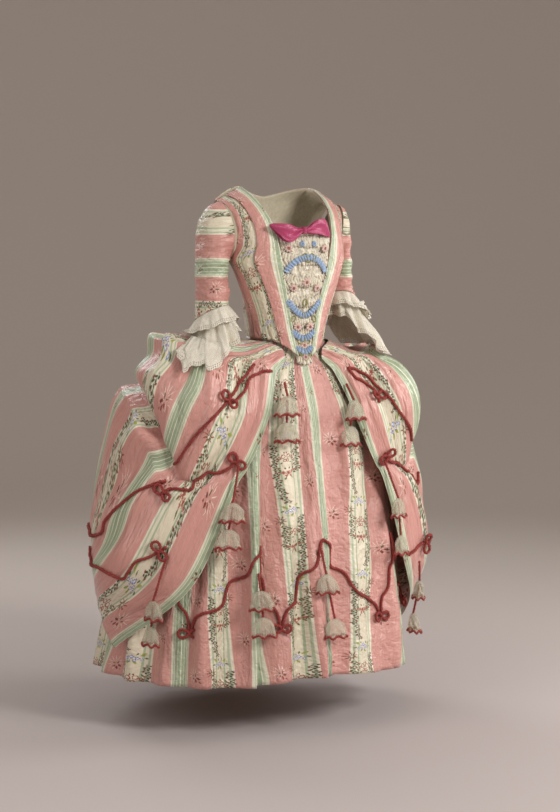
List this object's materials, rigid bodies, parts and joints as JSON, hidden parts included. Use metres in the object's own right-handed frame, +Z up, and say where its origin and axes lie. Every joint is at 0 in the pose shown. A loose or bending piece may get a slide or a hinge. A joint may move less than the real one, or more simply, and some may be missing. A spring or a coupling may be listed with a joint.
{
  "type": "robe a la francaise with petticoat",
  "caption": "Striped floral silk robe with a sack back, its skirts drawn up in puffs over a petticoat, with stomacher, bow, lace sleeve ruffles, cords and tassels.",
  "frame": {"origin": "middle of the wearer's waist, where the bodice meets the skirts and the petticoat is tied", "axes": "+Z up, -Y the front, +X the wearer's left"},
  "size_m": [0.9371, 0.7895, 1.2211],
  "materials": {
    "striped_silk": "striped and flowered silk",
    "ruched_silk": "ruched silk with rosettes",
    "net": "ribbed net and lace",
    "satin": "satin ribbon",
    "chenille": "chenille"
  },
  "bodies": {
    "root": {"petticoat": "striped_silk", "robe_skirt_right": "striped_silk", "robe_skirt_left": "striped_silk", "robe_back": "striped_silk", "bodice_front_left": "striped_silk", "bodice_front_right": "striped_silk", "robing_left": "striped_silk", "robing_right": "striped_silk", "sleeve_right": "striped_silk", "sleeve_left": "striped_silk", "bodice_back": "striped_silk", "stomacher": "ruched_silk", "sleeve_frill_right": "net", "sleeve_frill_left": "net", "engageante_right": "net", "engageante_left": "net", "tassel_waist_right": "net", "tassel_waist_left": "net", "tassel_edge_right": "net", "tassel_edge_left": "net", "tassel_side_right": "net", "tassel_side_left": "net", "tassel_front_right": "net", "tassel_front": "net", "bow_loop_left": "satin", "bow_loop_right": "satin", "bow_knot": "satin", "robe_cord_upper_right": "chenille", "robe_cord_side_right": "chenille", "robe_cord_middle_right": "chenille", "robe_cord_lower_right": "chenille", "robe_cord_upper_left": "chenille", "robe_cord_middle_left": "chenille", "robe_cord_lower_left": "chenille", "petticoat_cord": "chenille"}
  },
  "joints": []
}
